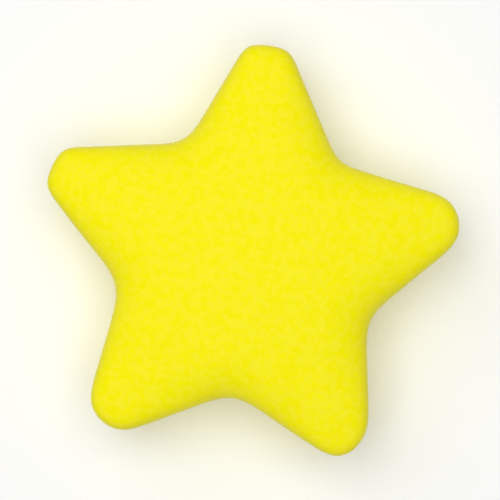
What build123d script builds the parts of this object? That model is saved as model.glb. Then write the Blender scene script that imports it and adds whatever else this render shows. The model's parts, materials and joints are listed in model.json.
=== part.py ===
"""Squeezable foam star: a thick five-pointed star of soft moulded polyurethane foam in a bright colour coat.

It is poured in a mould and sprayed afterwards, so a cut through it shows three layers, each closed all
round the one inside it: the colour coat, the dense skin that forms against the mould, and the
open-celled foam core.

The star lies on its flat back at z = 0, centred on its five-fold axis, with one arm along +Y.
Lengths are in millimetres and angles in degrees.
"""

import math
import os

from build123d import *

# Outside of the star
ARMS = 5
TIP_REACH = 41.6  # from the axis to the blunt end of an arm
TIP_CORNER = 5.4  # radius of the two corners of that end
NOTCH_REACH = 26.7  # from the axis to the bottom of the notch between two arms
NOTCH_RADIUS = 15.0
ARM_TAPER = 26.8  # between an arm's centre line and each of its sides
THICKNESS = 31.0  # on the axis, where the domed front is highest
CROWN_RADIUS = 160.0  # of the dome of the front
RIM_ROUND = 5.0  # of the rims of the front and the back

# Layers, from the outside in
COAT = 0.2
SKIN = 1.0

HALF_PITCH = 180 / ARMS  # between an arm and the notch beside it


def polar(reach, turn):
    """The point at that distance from the axis, turned clockwise from +Y."""
    return reach * math.sin(math.radians(turn)), reach * math.cos(math.radians(turn))


def star_outline(inset):
    """The rounded star, moved in by inset all round."""
    # The straight sides of a notch meet at a sharp corner behind its round.
    half_angle = math.radians(ARM_TAPER + HALF_PITCH)
    notch = NOTCH_REACH + NOTCH_RADIUS - (NOTCH_RADIUS + inset) / math.sin(half_angle)
    notch_x, notch_y = polar(notch, HALF_PITCH)
    end_y = TIP_REACH - inset
    end_x = notch_x - (end_y - notch_y) * math.tan(math.radians(ARM_TAPER))
    end_reach = math.hypot(end_x, end_y)
    end_turn = math.degrees(math.atan2(end_x, end_y))

    corners = []
    for arm in range(ARMS):
        turn = 2 * HALF_PITCH * arm
        corners += [polar(end_reach, turn - end_turn), polar(end_reach, turn + end_turn)]
        corners += [polar(notch, turn + HALF_PITCH)]
    with BuildSketch() as outline:
        with BuildLine():
            Polyline(*corners, close=True)
        make_face()
        notches, ends = outline.vertices().group_by(SortBy.DISTANCE)
        fillet(ends, TIP_CORNER - inset)
        fillet(outline.vertices().group_by(SortBy.DISTANCE)[0], NOTCH_RADIUS + inset)
    return outline.sketch


def star_form(inset):
    """The whole star as one solid, moved in by inset all round."""
    with BuildPart() as form:
        with BuildSketch(Plane.XY.offset(inset)):
            add(star_outline(inset))
        extrude(amount=THICKNESS)
        with Locations((0, 0, THICKNESS - CROWN_RADIUS)):
            Sphere(CROWN_RADIUS - inset, mode=Mode.INTERSECT)
        back, *_, front = form.faces().sort_by(Axis.Z)
        fillet(back.edges() + front.edges(), RIM_ROUND - inset)
    return form.part


outside = star_form(0)
under_coat = star_form(COAT)
under_skin = star_form(COAT + SKIN)

with BuildPart() as colour_coat:
    add(outside)
    add(under_coat, mode=Mode.SUBTRACT)
colour_coat.part.label = "colour_coat"

with BuildPart() as moulded_skin:
    add(under_coat)
    add(under_skin, mode=Mode.SUBTRACT)
moulded_skin.part.label = "moulded_skin"

with BuildPart() as foam_core:
    add(under_skin)
foam_core.part.label = "foam_core"

os.makedirs("parts", exist_ok=True)
for piece in (colour_coat, moulded_skin, foam_core):
    export_step(piece.part, f"parts/{piece.part.label}.step")
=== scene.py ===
# %% [markdown]
# # A squeezable foam star
# The star is poured in a two-part mould from soft polyurethane foam. The foam swells against the
# mould's wall and makes its own dense skin there, and the casting is then sprayed with a flexible
# yellow coat. So there are three pieces, one inside the other: a coat, a skin and a foam core.
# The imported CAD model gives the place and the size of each. Everything here is built around it.

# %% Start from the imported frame
import json
import math

import bpy
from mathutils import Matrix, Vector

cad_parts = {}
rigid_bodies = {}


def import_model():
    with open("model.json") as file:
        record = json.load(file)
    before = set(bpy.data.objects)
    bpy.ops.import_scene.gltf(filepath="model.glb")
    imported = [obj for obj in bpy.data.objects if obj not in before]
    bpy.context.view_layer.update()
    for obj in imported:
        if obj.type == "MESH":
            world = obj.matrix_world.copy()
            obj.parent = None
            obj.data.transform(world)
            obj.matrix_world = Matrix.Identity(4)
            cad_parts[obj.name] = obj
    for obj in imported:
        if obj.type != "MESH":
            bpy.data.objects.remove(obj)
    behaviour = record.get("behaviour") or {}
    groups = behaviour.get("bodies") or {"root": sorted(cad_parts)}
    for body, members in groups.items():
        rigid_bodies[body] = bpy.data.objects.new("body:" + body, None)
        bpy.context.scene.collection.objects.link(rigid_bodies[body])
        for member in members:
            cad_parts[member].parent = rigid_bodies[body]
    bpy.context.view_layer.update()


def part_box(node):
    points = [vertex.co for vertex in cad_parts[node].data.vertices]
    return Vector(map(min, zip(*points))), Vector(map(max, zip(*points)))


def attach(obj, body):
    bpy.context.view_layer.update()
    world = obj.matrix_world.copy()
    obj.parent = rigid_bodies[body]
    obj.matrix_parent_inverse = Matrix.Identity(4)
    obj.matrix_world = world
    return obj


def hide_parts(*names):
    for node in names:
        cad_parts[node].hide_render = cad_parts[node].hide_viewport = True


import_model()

MM = 0.001

low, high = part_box("colour_coat")
REACH = high[1]
THICKNESS = high[2]
print("CAD box in mm:", [round(v / MM, 2) for v in (*low, *high)])

# %% [markdown]
# ## Two small tools
# Every material and every Geometry Nodes tree below is a set of nodes with links. One function adds
# a node: an input takes a plain value, another node's output, or another node, whose first output
# is used. Colours are written as sRGB hex values, as a screen shows them, while the renderer counts
# light, so one function turns the one into the other.

# %% Node and colour helpers
def add(tree, kind, inputs=None, **settings):
    """Add a node, set it up and connect its inputs."""
    node = tree.nodes.new(kind)
    for name, value in settings.items():
        setattr(node, name, value)
    for name, value in (inputs or {}).items():
        if isinstance(value, bpy.types.Node):
            value = value.outputs[0]
        if isinstance(value, bpy.types.NodeSocket):
            tree.links.new(value, node.inputs[name])
        else:
            node.inputs[name].default_value = value
    return node


def linear(hex_colour):
    """An sRGB hex colour as linear red, green, blue and alpha."""
    parts = [int(hex_colour[i:i + 2], 16) / 255 for i in (1, 3, 5)]
    return [p / 12.92 if p <= 0.04045 else ((p + 0.055) / 1.055) ** 2.4 for p in parts] + [1.0]


def new_group(name, inputs, outputs):
    """A Geometry Nodes tree with named inputs and outputs, each given with its socket type."""
    tree = bpy.data.node_groups.new(name, "GeometryNodeTree")
    for socket, kind in inputs.items():
        tree.interface.new_socket(socket, in_out="INPUT", socket_type="NodeSocket" + kind)
    for socket, kind in outputs.items():
        tree.interface.new_socket(socket, in_out="OUTPUT", socket_type="NodeSocket" + kind)
    return tree


# %% [markdown]
# ## The outline
# Seen from the front, each arm has two straight sides that lean in towards a blunt end. A star could
# be drawn as a curve and filled. Here it is a distance instead: a formula that says how far any point
# is from the outline, below zero inside. Distances blend softly, and soft corners are what foam has.
# A straight side is the simplest of them: the place along the side's outward direction, less the
# side's own distance from the middle.
#
# The smooth minimum of two neighbouring sides makes a notch with a rounded bottom. The smooth maximum
# of the five notches is a star with sharp ends, and five more straight cuts make the ends blunt.
# A casting is never quite regular, so each arm has small differences of its own from a plain one.

# %% The five arms
PLAIN_ARM = {
    "lean": 0,  # degrees, clockwise, about the star's middle
    "shift": 0,  # mm, of both sides to the right
    "half_width": 22.5,  # mm, from the star's middle to the line of each side
    "taper": 27,  # degrees, between the arm's centre line and each side
    "reach": REACH / MM,  # mm, from the star's middle to the blunt end, as in the CAD model
    "end_slant": 0,  # degrees, clockwise
    "tip_softness": 6,  # mm, over which the sides blend into the end
    "notch_softness": 6,  # mm, over which the arm blends into the next one, clockwise
}
# Clockwise from the one along +Y, seen from the front, with how each differs from the plain one.
ARMS = [
    PLAIN_ARM | {"lean": -3, "shift": 1, "tip_softness": 4, "notch_softness": 4},  # leans, squarer end
    PLAIN_ARM | {"half_width": 23, "taper": 28},  # the broadest
    PLAIN_ARM | {"end_slant": -8},  # cut off at a slant
    PLAIN_ARM | {"shift": -0.5},  # a little to one side
    PLAIN_ARM | {"shift": 0.5, "tip_softness": 4},  # a little to the other side, and squarer at its end
]
RIDGE_SOFTNESS = 2.5 * MM  # over which the two sides of an arm blend along its centre line

outline = new_group("Star outline", {"Place": "Vector"}, {"Distance": "Float"})
place = add(outline, "NodeGroupInput").outputs["Place"]


def straight_side(facing, distance):
    """How far a place lies beyond a straight line that faces that way, in degrees clockwise from +Y."""
    outwards = (math.sin(math.radians(facing)), math.cos(math.radians(facing)), 0)
    along = add(outline, "ShaderNodeVectorMath", {0: place, 1: outwards}, operation="DOT_PRODUCT")
    return add(outline, "ShaderNodeMath", {0: along.outputs["Value"], 1: distance * MM}, operation="SUBTRACT")


rights, lefts, ends = [], [], []
for number, arm in enumerate(ARMS):
    turn = number * 360 / len(ARMS)
    across = 90 - arm["taper"]
    rights.append(straight_side(turn + arm["lean"] + across, arm["half_width"] + arm["shift"]))
    lefts.append(straight_side(turn + arm["lean"] - across, arm["half_width"] - arm["shift"]))
    ends.append(straight_side(turn + arm["end_slant"], arm["reach"]))

star = None
for number, arm in enumerate(ARMS):
    next_left = lefts[(number + 1) % len(ARMS)]
    softness = arm["notch_softness"] * MM
    meeting = {0: rights[number], 1: next_left, 2: softness}
    notch = add(outline, "ShaderNodeMath", meeting, operation="SMOOTH_MIN")
    if star is None:
        star = notch
    else:
        star = add(outline, "ShaderNodeMath", {0: star, 1: notch, 2: RIDGE_SOFTNESS}, operation="SMOOTH_MAX")
for arm, end in zip(ARMS, ends):
    softness = arm["tip_softness"] * MM
    star = add(outline, "ShaderNodeMath", {0: star, 1: end, 2: softness}, operation="SMOOTH_MAX")
add(outline, "NodeGroupOutput", {"Distance": star})
print("outline:", len(outline.nodes), "nodes")

# %% [markdown]
# ## The body
# The outline says how far a place is from the side, and its height says how far it is from the front
# and the back. The front is a shallow dome and the back is flat, because the star lies on it. Each
# face turns over into the side by a superellipse, the curve that gives a pillow its full edge. The
# front's rim starts at one level all round, the shoulder. It reaches far in across the face in the
# notches, where the foam is deep, and little round the ends of the arms. Foam that swells in a mould
# fills such an edge by itself. "Inset" moves the whole body inwards, which gives the layers.
#
# Four small things belong to the mould and the foam. The side bulges a little, so that the casting
# comes out of either half of the mould. A fine raised line runs round it, where the two halves met. A
# shallow round mark on the back is where the foam was poured in and trimmed. And the faces swell a
# little unevenly, which noise of about a centimetre gives.

# %% The body's distance
body = new_group(
    "Star body",
    {
        "Place": "Vector", "Inset": "Float", "Thickness": "Float", "Crown Radius": "Float",
        "Shoulder": "Float", "Notch Rim": "Float", "End Rim": "Float", "Front Fullness": "Float",
        "Back Height": "Float", "Back Rim": "Float", "Back Fullness": "Float", "Barrel": "Float",
        "Line Height": "Float", "Mark Depth": "Float", "Swell": "Float", "Seed": "Float",
    },
    {"Distance": "Float"},
)
given = add(body, "NodeGroupInput").outputs
spot = add(body, "ShaderNodeSeparateXYZ", {0: given["Place"]})
x, y, z = spot.outputs

# Distance beyond the side, with the raised line of the mould's joint.
LINE_LEVEL = 17 * MM
LINE_HALF_WIDTH = 0.7 * MM
side = add(body, "GeometryNodeGroup", {"Place": given["Place"]}, node_tree=outline)
off_line = add(body, "ShaderNodeMath", {0: z, 1: LINE_LEVEL}, operation="SUBTRACT")
off_line = add(body, "ShaderNodeMath", {0: off_line, 1: LINE_HALF_WIDTH}, operation="DIVIDE")
off_line = add(body, "ShaderNodeMath", {0: off_line}, operation="ABSOLUTE")
line = add(
    body, "ShaderNodeMapRange", {"Value": off_line, "To Min": 1.0, "To Max": 0.0},
    interpolation_type="SMOOTHSTEP",
)
line = add(body, "ShaderNodeMath", {0: line, 1: given["Line Height"]}, operation="MULTIPLY")
side = add(body, "ShaderNodeMath", {0: side, 1: line}, operation="SUBTRACT")

# The side's bulge.
WIDEST_LEVEL = 16 * MM
BARREL_REACH = 10 * MM  # above or below the widest level, where the side has drawn in by "Barrel"
away = add(body, "ShaderNodeMath", {0: z, 1: WIDEST_LEVEL}, operation="SUBTRACT")
away = add(body, "ShaderNodeMath", {0: away, 1: BARREL_REACH}, operation="DIVIDE")
away = add(body, "ShaderNodeMath", {0: away, 1: away}, operation="MULTIPLY")
side = add(body, "ShaderNodeMath", {0: away, 1: given["Barrel"], 2: side}, operation="MULTIPLY_ADD")

# How high a place is in the front's rim: 0 at the shoulder, 1 on the dome. Round the ends of the arms
# the dome comes low, and the rim keeps a least height there, so that no sharp edge is left. The dome
# drops from its top by the radius squared over twice the crown's, which is close to a sphere's drop.
square = add(body, "ShaderNodeMath", {0: x, 1: x}, operation="MULTIPLY")
square = add(body, "ShaderNodeMath", {0: y, 1: y, 2: square}, operation="MULTIPLY_ADD")
drop = add(body, "ShaderNodeMath", {0: square, 1: given["Crown Radius"]}, operation="DIVIDE")
dome = add(body, "ShaderNodeMath", {0: drop, 1: -0.5, 2: given["Thickness"]}, operation="MULTIPLY_ADD")
LEAST_RIM = 3.0 * MM
rim = add(body, "ShaderNodeMath", {0: dome, 1: given["Shoulder"]}, operation="SUBTRACT")
rim = add(body, "ShaderNodeMath", {0: rim, 1: LEAST_RIM}, operation="MAXIMUM")
front = add(body, "ShaderNodeMath", {0: z, 1: given["Inset"]}, operation="ADD")
front = add(body, "ShaderNodeMath", {0: front, 1: given["Shoulder"]}, operation="SUBTRACT")
front = add(body, "ShaderNodeMath", {0: front, 1: rim}, operation="DIVIDE")

# How wide that rim is: broad in the notches, narrow round the ends of the arms.
NOTCH_PLACE, END_PLACE = 27 * MM, 41.5 * MM
middle = add(body, "ShaderNodeMath", {0: square}, operation="SQRT")
front_width = add(
    body, "ShaderNodeMapRange",
    {
        "Value": middle, "From Min": NOTCH_PLACE, "From Max": END_PLACE,
        "To Min": given["Notch Rim"], "To Max": given["End Rim"],
    },
    interpolation_type="SMOOTHSTEP",
)

# The same for the flat back, with the round mark of the trimmed pouring gate: 1 on the back, and 0
# as high above it as its rim reaches.
MARK_RADIUS = 5.0 * MM
MARK_EDGE = 1.2 * MM
mark = add(
    body, "ShaderNodeMapRange",
    {
        "Value": middle, "From Min": MARK_RADIUS - MARK_EDGE, "From Max": MARK_RADIUS,
        "To Min": 1.0, "To Max": 0.0,
    },
    interpolation_type="SMOOTHSTEP",
)
mark = add(body, "ShaderNodeMath", {0: mark, 1: given["Mark Depth"]}, operation="MULTIPLY")
back = add(body, "ShaderNodeMath", {0: mark, 1: z}, operation="SUBTRACT")
back = add(body, "ShaderNodeMath", {0: back, 1: given["Inset"]}, operation="ADD")
back = add(body, "ShaderNodeMath", {0: back, 1: given["Back Height"]}, operation="DIVIDE")
back = add(body, "ShaderNodeMath", {0: back, 1: 1.0}, operation="ADD")

# Each face is joined to the side by its own superellipse.
side = add(body, "ShaderNodeMath", {0: side, 1: given["Inset"]}, operation="ADD")
halves = []
for face, width, fullness in (
    (front, front_width.outputs[0], given["Front Fullness"]),
    (back, given["Back Rim"], given["Back Fullness"]),
):
    width = add(body, "ShaderNodeMath", {0: width, 1: given["Inset"]}, operation="SUBTRACT")
    across = add(body, "ShaderNodeMath", {0: side, 1: width}, operation="DIVIDE")
    across = add(body, "ShaderNodeMath", {0: across, 1: 1.0}, operation="ADD")
    shares = []
    for share in (across, face):
        share = add(body, "ShaderNodeMath", {0: share, 1: 0.0}, operation="MAXIMUM")
        shares.append(add(body, "ShaderNodeMath", {0: share, 1: fullness}, operation="POWER"))
    both = add(body, "ShaderNodeMath", {0: shares[0], 1: shares[1]}, operation="ADD")
    root = add(body, "ShaderNodeMath", {0: 1.0, 1: fullness}, operation="DIVIDE")
    both = add(body, "ShaderNodeMath", {0: both, 1: root}, operation="POWER")
    both = add(body, "ShaderNodeMath", {0: both, 1: 1.0}, operation="SUBTRACT")
    halves.append(add(body, "ShaderNodeMath", {0: both, 1: width}, operation="MULTIPLY"))
distance = add(body, "ShaderNodeMath", {0: halves[0], 1: halves[1]}, operation="MAXIMUM")

# The uneven swelling of the foam, which fades out towards the flat back.
SWELL_SIZE = 14 * MM
SWELL_FROM, SWELL_TO = 1 * MM, 10 * MM
noise = add(
    body, "ShaderNodeTexNoise",
    {"Vector": given["Place"], "W": given["Seed"], "Scale": 1 / SWELL_SIZE, "Detail": 1.5, "Roughness": 0.45},
    noise_dimensions="4D",
)
noise = add(body, "ShaderNodeMath", {0: noise, 1: 0.5}, operation="SUBTRACT")
fade = add(
    body, "ShaderNodeMapRange", {"Value": z, "From Min": SWELL_FROM, "From Max": SWELL_TO},
    interpolation_type="SMOOTHSTEP",
)
noise = add(body, "ShaderNodeMath", {0: noise, 1: fade}, operation="MULTIPLY")
distance = add(body, "ShaderNodeMath", {0: noise, 1: given["Swell"], 2: distance}, operation="MULTIPLY_ADD")
add(body, "NodeGroupOutput", {"Distance": distance})
print("body:", len(body.nodes), "nodes")

# %% [markdown]
# ## From a distance to a surface
# Where the distance is zero is the surface. A Volume Cube samples the distance on a fine grid, and
# Volume to Mesh walks along the zero with small even quads, as a boiled egg's shell follows the egg.
# The grid leaves slight steps. So each point is then moved along its own normal to where the exact
# distance is zero, three times over, each time nearer. That also brings in what is finer than the
# grid: the mould's line, the gate mark and the swelling.

# %% The surface group
body_inputs = [socket.name for socket in body.interface.items_tree if socket.in_out == "INPUT"]
shape_sizes = {name: "Float" for name in body_inputs if name != "Place"}
surface = new_group("Star surface", shape_sizes | {"Grid": "Float"}, {"Mesh": "Geometry"})
given = add(surface, "NodeGroupInput").outputs
here = add(surface, "GeometryNodeInputPosition")


def body_distance(where, **changed):
    """The body's distance at a place, with the group's own sizes unless they are changed."""
    node = add(surface, "GeometryNodeGroup", {"Place": where}, node_tree=body)
    for name in shape_sizes:
        if name in changed:
            node.inputs[name].default_value = changed[name]
        else:
            surface.links.new(given[name], node.inputs[name])
    return node


MARGIN = 4 * MM
corner = REACH + MARGIN
coarse = body_distance(here, Swell=0.0)
BLUR = 6 * MM  # over which the density falls from 1 inside to 0 outside
SURFACE_DENSITY = 0.5
density = add(
    surface, "ShaderNodeMath", {0: coarse, 1: -1 / BLUR, 2: SURFACE_DENSITY}, operation="MULTIPLY_ADD")
density = add(surface, "ShaderNodeClamp", {"Value": density})
counts = {}
for axis, length in (("X", 2 * corner), ("Y", 2 * corner), ("Z", THICKNESS + 2 * MARGIN)):
    cells = add(surface, "ShaderNodeMath", {0: length, 1: given["Grid"]}, operation="DIVIDE")
    counts["Resolution " + axis] = add(surface, "ShaderNodeMath", {0: cells}, operation="ROUND")
grid = add(
    surface, "GeometryNodeVolumeCube",
    counts | {
        "Density": density,
        "Min": (-corner, -corner, -MARGIN),
        "Max": (corner, corner, THICKNESS + MARGIN),
    },
)
mesh = add(
    surface, "GeometryNodeVolumeToMesh", {"Volume": grid, "Threshold": SURFACE_DENSITY},
    resolution_mode="GRID",
)

PROBE = 0.1 * MM
LONGEST_MOVE = 0.5 * MM
PASSES = 3
for _ in range(PASSES):
    normal = add(surface, "GeometryNodeInputNormal")
    at = body_distance(here)
    probe = add(surface, "ShaderNodeVectorMath", {0: normal, "Scale": PROBE}, operation="SCALE")
    probe = add(surface, "ShaderNodeVectorMath", {0: probe, 1: here}, operation="ADD")
    beyond = body_distance(probe)
    rise = add(surface, "ShaderNodeMath", {0: beyond, 1: at}, operation="SUBTRACT")
    slope = add(surface, "ShaderNodeMath", {0: rise, 1: -PROBE}, operation="DIVIDE")
    move = add(surface, "ShaderNodeMath", {0: at, 1: slope}, operation="DIVIDE")
    move = add(surface, "ShaderNodeClamp", {"Value": move, "Min": -LONGEST_MOVE, "Max": LONGEST_MOVE})
    move = add(surface, "ShaderNodeVectorMath", {0: normal, "Scale": move}, operation="SCALE")
    mesh = add(surface, "GeometryNodeSetPosition", {"Geometry": mesh, "Offset": move})
add(surface, "NodeGroupOutput", {"Mesh": mesh})
print("surface:", len(surface.nodes), "nodes")

# %% [markdown]
# ## One tree for every layer
# The coat and the skin are closed shells: an outer surface, and an inner one that is turned inside
# out, so that its faces look into the hollow. The core is the outer surface alone, with the small
# pits of opened foam cells. One tree with a switch makes all three. Where a layer touches the next,
# both follow the same distance with the same inset, so they lie against each other. The fit is close,
# not exact: only outer walls carry the mould's line, so there a layer reaches about a tenth of a
# millimetre into the one round it, and the pits and the different grids leave gaps as small.

# %% The layer tree
layer_sizes = {name: kind for name, kind in shape_sizes.items() if name != "Inset"}
layer = new_group(
    "Foam layer",
    layer_sizes | {
        "Outer Inset": "Float", "Inner Inset": "Float", "Outer Grid": "Float", "Inner Grid": "Float",
        "Hollow": "Bool", "Pit Depth": "Float", "Pit Size": "Float", "Material": "Material",
    },
    {"Geometry": "Geometry"},
)
given = add(layer, "NodeGroupInput").outputs
walls = []
for wall in ("Outer", "Inner"):
    node = add(layer, "GeometryNodeGroup", node_tree=surface)
    for name in layer_sizes:
        if not (wall == "Inner" and name == "Line Height"):
            layer.links.new(given[name], node.inputs[name])
    layer.links.new(given[wall + " Inset"], node.inputs["Inset"])
    layer.links.new(given[wall + " Grid"], node.inputs["Grid"])
    walls.append(node)
outer, inner = walls

where = add(layer, "GeometryNodeInputPosition")
cell_scale = add(layer, "ShaderNodeMath", {0: 1.0, 1: given["Pit Size"]}, operation="DIVIDE")
cells = add(layer, "ShaderNodeTexVoronoi", {"Vector": where, "Scale": cell_scale}, feature="SMOOTH_F1")
PIT_WIDTH = 0.6  # of the way from the middle of a cell to its wall
pit = add(
    layer, "ShaderNodeMapRange",
    {"Value": cells.outputs["Distance"], "From Max": PIT_WIDTH, "To Min": -1.0, "To Max": 0.0},
)
pit = add(layer, "ShaderNodeMath", {0: pit, 1: given["Pit Depth"]}, operation="MULTIPLY")
normal = add(layer, "GeometryNodeInputNormal")
pit = add(layer, "ShaderNodeVectorMath", {0: normal, "Scale": pit}, operation="SCALE")
outer = add(layer, "GeometryNodeSetPosition", {"Geometry": outer, "Offset": pit})

inner = add(layer, "GeometryNodeFlipFaces", {"Mesh": inner})
inner = add(layer, "GeometryNodeSwitch", {"Switch": given["Hollow"], "True": inner}, input_type="GEOMETRY")
both = add(layer, "GeometryNodeJoinGeometry")
layer.links.new(inner.outputs[0], both.inputs[0])
layer.links.new(outer.outputs[0], both.inputs[0])
smooth = add(layer, "GeometryNodeSetShadeSmooth", {"Geometry": both})
real = add(layer, "GeometryNodeRealizeInstances", {"Geometry": smooth})
painted = add(layer, "GeometryNodeSetMaterial", {"Geometry": real, "Material": given["Material"]})
add(layer, "NodeGroupOutput", {"Geometry": painted})

SIZES = {
    "Thickness": THICKNESS,
    "Crown Radius": 160 * MM,
    "Shoulder": 22.5 * MM,
    "Notch Rim": 10.5 * MM,
    "End Rim": 2.4 * MM,
    "Front Fullness": 2.9,
    "Back Height": 11 * MM,
    "Back Rim": 6 * MM,
    "Back Fullness": 2.3,
    "Barrel": 0.4 * MM,
    "Line Height": 0.12 * MM,
    "Mark Depth": 0.25 * MM,
    "Swell": 0.5 * MM,
    "Seed": 4.0,
}


def make_layer(name, material, **changed):
    """One layer as a plain mesh object at the origin."""
    piece = bpy.data.objects.new(name, bpy.data.meshes.new(name))
    bpy.context.collection.objects.link(piece)
    modifier = piece.modifiers.new("Foam layer", "NODES")
    modifier.node_group = layer
    values = SIZES | {"Material": material} | {k.replace("_", " ").title(): v for k, v in changed.items()}
    for socket in layer.interface.items_tree:
        if socket.in_out == "INPUT" and socket.name in values:
            modifier[socket.identifier] = values[socket.name]
    evaluated = piece.evaluated_get(bpy.context.evaluated_depsgraph_get())
    mesh = bpy.data.meshes.new_from_object(evaluated)
    piece.modifiers.clear()
    piece.data = mesh
    mesh.name = name
    lows = [min(v.co[axis] for v in mesh.vertices) / MM for axis in range(3)]
    highs = [max(v.co[axis] for v in mesh.vertices) / MM for axis in range(3)]
    triangles = sum(len(p.vertices) - 2 for p in mesh.polygons)
    print(f"{name}: {triangles} triangles")
    print("    from", [round(v, 2) for v in lows], "to", [round(v, 2) for v in highs], "mm")
    return piece


# %% [markdown]
# ## The colour coat
# A flexible two-part polyurethane paint, sprayed on the casting. It is pigmented through, so it hides
# the foam, and it dries matte with a faint orange peel, the slight unevenness that spray droplets
# leave. Its yellow is not quite even: where the mist lies thicker it is deeper, in soft spots a
# millimetre or two across. It gives back light almost evenly, with a wide soft sheen and no highlight.

# %% The coat's material
def new_material(name):
    """A material with an empty node tree, and that tree."""
    material = bpy.data.materials.new(name)
    material.use_nodes = True
    material.node_tree.nodes.clear()
    return material, material.node_tree


coat_paint, tree = new_material("Sprayed flexible PU coat, yellow")
spot = add(tree, "ShaderNodeTexCoord").outputs["Object"]
MIST_SPOT = 1.6 * MM
mist = add(
    tree, "ShaderNodeTexNoise", {"Vector": spot, "Scale": 1 / MIST_SPOT, "Detail": 4.0, "Roughness": 0.7})
mist = add(tree, "ShaderNodeMapRange", {"Value": mist, "From Min": 0.42, "From Max": 0.58})
yellow = add(
    tree, "ShaderNodeMix", {"Factor": mist, "A": linear("#FAF100"), "B": linear("#FDF128")}, data_type="RGBA")
PEEL = 1.1 * MM
PEEL_HEIGHT = 0.05 * MM
peel = add(tree, "ShaderNodeTexNoise", {"Vector": spot, "Scale": 1 / PEEL, "Detail": 2.0, "Roughness": 0.5})
peel = add(tree, "ShaderNodeBump", {"Height": peel, "Strength": 1.0, "Distance": PEEL_HEIGHT})
coat_shader = add(
    tree, "ShaderNodeBsdfPrincipled",
    {
        "Base Color": yellow.outputs["Result"], "Roughness": 0.55, "IOR": 1.5,
        "Specular IOR Level": 0.05, "Sheen Weight": 0.12, "Sheen Roughness": 0.4, "Normal": peel,
    },
)
add(tree, "ShaderNodeOutputMaterial", {"Surface": coat_shader})
print(coat_paint.name + ":", len(tree.nodes), "nodes")

# %% [markdown]
# ## The skin
# Where the swelling foam meets the cool wall of the mould its bubbles collapse, and it sets as a dense
# skin about a millimetre thick. It is the foam's own material with its own pale colour, smooth and
# dull, with a few pinholes.

# %% The skin's material
skin_foam, tree = new_material("Dense moulded PU foam skin")
spot = add(tree, "ShaderNodeTexCoord").outputs["Object"]
TINT_PATCH = 4 * MM
tint = add(tree, "ShaderNodeTexNoise", {"Vector": spot, "Scale": 1 / TINT_PATCH, "Detail": 2.0})
tint = add(
    tree, "ShaderNodeMix", {"Factor": tint, "A": linear("#E5D88E"), "B": linear("#F0E6A8")}, data_type="RGBA")
PINHOLE_SPACING = 1.5 * MM
PINHOLE_WIDTH = 0.15  # of that spacing
PINHOLE_DEPTH = 0.1 * MM
pinhole = add(tree, "ShaderNodeTexVoronoi", {"Vector": spot, "Scale": 1 / PINHOLE_SPACING})
pinhole = add(tree, "ShaderNodeMapRange", {"Value": pinhole.outputs["Distance"], "From Max": PINHOLE_WIDTH})
pinhole = add(tree, "ShaderNodeBump", {"Height": pinhole, "Distance": PINHOLE_DEPTH})
skin_shader = add(
    tree, "ShaderNodeBsdfPrincipled",
    {"Base Color": tint.outputs["Result"], "Roughness": 0.7, "IOR": 1.5, "Normal": pinhole},
)
add(tree, "ShaderNodeOutputMaterial", {"Surface": skin_shader})
print(skin_foam.name + ":", len(tree.nodes), "nodes")

# %% [markdown]
# ## The foam core
# Open-celled flexible foam: bubbles of about half a millimetre that have broken into each other. It is
# cream, light and quite dull. The cells are drawn as a Voronoi pattern, with painted shade in the hollows.

# %% The core's material
core_foam, tree = new_material("Open-celled flexible PU foam")
spot = add(tree, "ShaderNodeTexCoord").outputs["Object"]
CELL = 0.6 * MM
CELL_WALL = 0.3  # of that cell
CELL_DEPTH = 0.2 * MM
cell = add(tree, "ShaderNodeTexVoronoi", {"Vector": spot, "Scale": 1 / CELL}, feature="DISTANCE_TO_EDGE")
wall = add(
    tree, "ShaderNodeMapRange",
    {"Value": cell.outputs["Distance"], "From Max": CELL_WALL, "To Min": 1.0, "To Max": 0.0},
)
# Painted shade: the hollows in the middles of the cells are coloured darker than the cell walls.
cream_with_painted_cell_shade = add(
    tree, "ShaderNodeMix", {"Factor": wall, "A": linear("#CDBE8B"), "B": linear("#F1E8C4")}, data_type="RGBA")
relief = add(tree, "ShaderNodeBump", {"Height": wall, "Distance": CELL_DEPTH})
core_shader = add(
    tree, "ShaderNodeBsdfPrincipled",
    {"Base Color": cream_with_painted_cell_shade.outputs["Result"], "Roughness": 0.9, "IOR": 1.5, "Normal": relief},
)
add(tree, "ShaderNodeOutputMaterial", {"Surface": core_shader})
print(core_foam.name + ":", len(tree.nodes), "nodes")

# %% [markdown]
# ## Making the three pieces
# The coat's outside is what shows, so it has the finest grid. The walls that nothing shows are
# coarser, which keeps the piece light.

# %% The pieces
COAT = 0.2 * MM
SKIN = 1.0 * MM
coat = make_layer(
    "colour_coat_sprayed", coat_paint, hollow=True,
    outer_inset=0.0, inner_inset=COAT, outer_grid=0.5 * MM, inner_grid=0.9 * MM,
)
skin = make_layer(
    "moulded_skin_dense", skin_foam, hollow=True,
    outer_inset=COAT, inner_inset=COAT + SKIN, outer_grid=0.9 * MM, inner_grid=0.9 * MM,
)
core = make_layer(
    "foam_core_open_celled", core_foam, hollow=False,
    outer_inset=COAT + SKIN, outer_grid=0.6 * MM, pit_depth=0.1 * MM, pit_size=1.4 * MM,
)
for piece, node, slot in (
    (coat, "colour_coat", "yellow_coat"),
    (skin, "moulded_skin", "foam_skin"),
    (core, "foam_core", "foam_core"),
):
    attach(piece, "root")
    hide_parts(node)

# %% [markdown]
# ## Floor, light and camera
# The star lies on a plain white table. A large soft box hangs straight above it, and a weaker one to
# the upper left makes the light fall off gently towards the lower right. A pale room fills the
# shadows. The camera looks straight down through a long lens, so the star shows its true outline,
# turned a few degrees clockwise.

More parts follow.
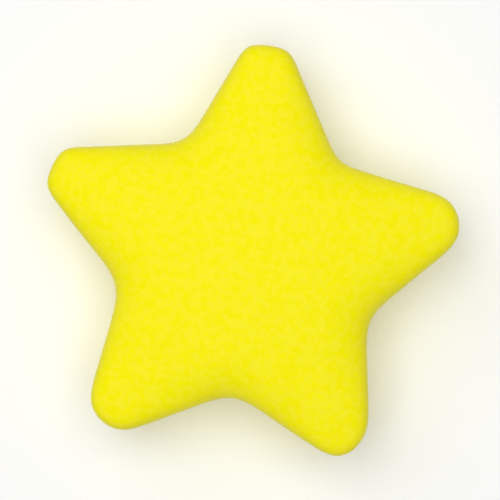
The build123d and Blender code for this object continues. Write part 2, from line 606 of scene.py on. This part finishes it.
# %% The floor
floor_paint, tree = new_material("Matte white table")
floor_shader = add(
    tree, "ShaderNodeBsdfPrincipled",
    {
        "Base Color": linear("#FAFAFA"), "Roughness": 0.9,
        "Emission Color": linear("#FFFFFF"), "Emission Strength": 0.03,
    },
)
add(tree, "ShaderNodeOutputMaterial", {"Surface": floor_shader})
FLOOR_HALF = 3.0
FLOOR_LEVEL = -0.1 * MM  # just clear of the star's back
floor_mesh = bpy.data.meshes.new("floor")
floor_turns = ((-1, -1), (1, -1), (1, 1), (-1, 1))
floor_corners = [(FLOOR_HALF * i, FLOOR_HALF * j, FLOOR_LEVEL) for i, j in floor_turns]
floor_mesh.from_pydata(floor_corners, [], [(0, 1, 2, 3)])
floor_mesh.materials.append(floor_paint)
floor = bpy.data.objects.new("floor", floor_mesh)
bpy.context.collection.objects.link(floor)

# %% The light
world = bpy.data.worlds.new("Pale room")
bpy.context.scene.world = world
world.use_nodes = True
world.node_tree.nodes.clear()
room = add(world.node_tree, "ShaderNodeBackground", {"Color": (1, 1, 1, 1), "Strength": 0.22})
add(world.node_tree, "ShaderNodeOutputWorld", {"Surface": room})

TURN = math.radians(7)  # of the camera about the vertical
PICTURE_UP = (-math.sin(TURN), math.cos(TURN))
PICTURE_RIGHT = (math.cos(TURN), math.sin(TURN))


def on_table(right, up, height):
    """A place given along the picture's own right and up, in metres."""
    return [right * r + up * u for r, u in zip(PICTURE_RIGHT, PICTURE_UP)] + [height]


def soft_box(name, right, up, height, watts):
    """A square lamp a metre wide that looks at the star."""
    lamp = bpy.data.lights.new(name, "AREA")
    lamp.shape = "SQUARE"
    lamp.size = 1.0
    lamp.energy = watts
    box = bpy.data.objects.new(name, lamp)
    box.location = on_table(right, up, height)
    box.rotation_euler = (-box.location).to_track_quat("-Z", "Y").to_euler()
    bpy.context.collection.objects.link(box)


soft_box("Soft box overhead", 0, 0, 1.3, watts=11.4)
soft_box("Soft box, upper left", -0.46, 0.46, 1.13, watts=3.9)

# %% The camera
VIEW_WIDTH = 96.6 * MM  # what the picture takes in at the star's widest level
CAMERA_HEIGHT = 0.6
SENSOR = 36.0
camera_data = bpy.data.cameras.new("Camera")
camera_data.sensor_width = SENSOR
camera_data.lens = SENSOR * (CAMERA_HEIGHT - LINE_LEVEL) / VIEW_WIDTH
camera = bpy.data.objects.new("Camera", camera_data)
AIM_RIGHT, AIM_UP = 0.62 * MM, 2.05 * MM  # of the picture's middle from the star's axis
camera.location = on_table(AIM_RIGHT, AIM_UP, CAMERA_HEIGHT)
camera.rotation_euler = (0, 0, TURN)
bpy.context.collection.objects.link(camera)
bpy.context.scene.camera = camera
bpy.context.scene.view_settings.view_transform = "Standard"
print(f"camera: {camera_data.lens:.0f} mm lens at {CAMERA_HEIGHT} m")
